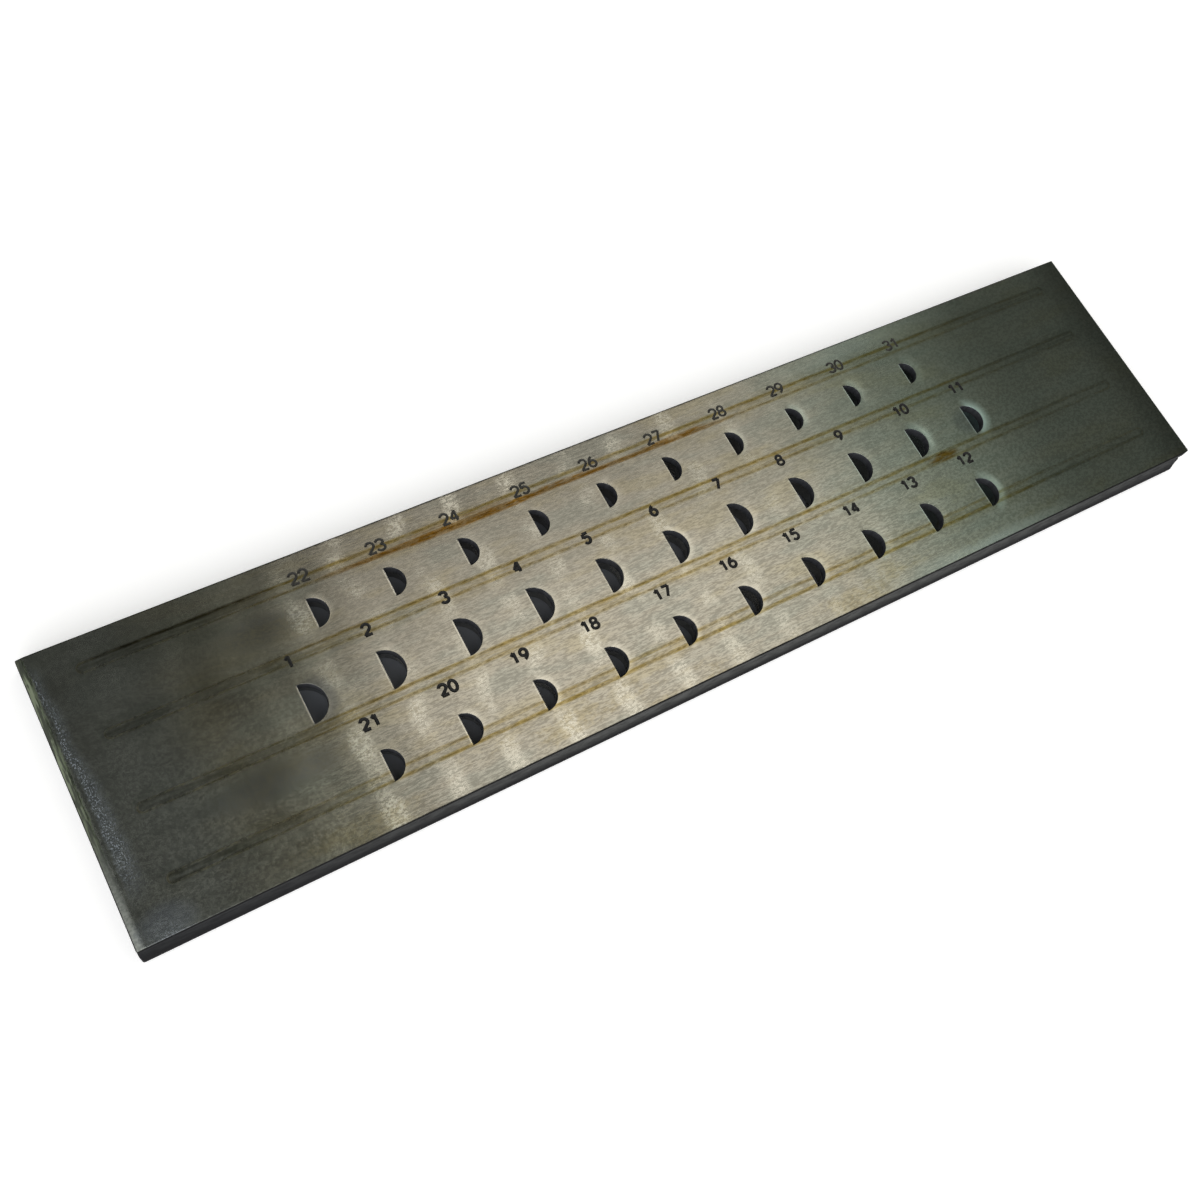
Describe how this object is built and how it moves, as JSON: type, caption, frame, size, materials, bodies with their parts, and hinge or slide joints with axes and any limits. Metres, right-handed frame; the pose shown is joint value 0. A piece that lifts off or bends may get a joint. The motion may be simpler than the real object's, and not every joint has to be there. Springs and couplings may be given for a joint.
{
  "type": "wire draw plate",
  "caption": "Long steel draw plate with three rows of numbered half-round holes, for pulling wire down to half-round section.",
  "frame": {"origin": "middle of the plate's bounding box, on the back face that it lies on", "axes": "+X along the plate, from the largest holes towards the smaller ones, with the flat side of every hole to -X; +Y across it, towards the back row; +Z out of the numbered face"},
  "size_m": [0.276, 0.0654, 0.008],
  "materials": {
    "hard_face_steel": "ground along its length, worn and stained",
    "soft_backing_steel": "dark rolled skin",
    "brazed_strip_steel": "ground flush, with a golden brown stain along its edges"
  },
  "bodies": {
    "root": {"face_plate": "hard_face_steel", "backing_plate": "soft_backing_steel", "back_tie_strip": "brazed_strip_steel", "back_inner_tie_strip": "brazed_strip_steel", "front_inner_tie_strip": "brazed_strip_steel", "front_tie_strip": "brazed_strip_steel"}
  },
  "joints": []
}
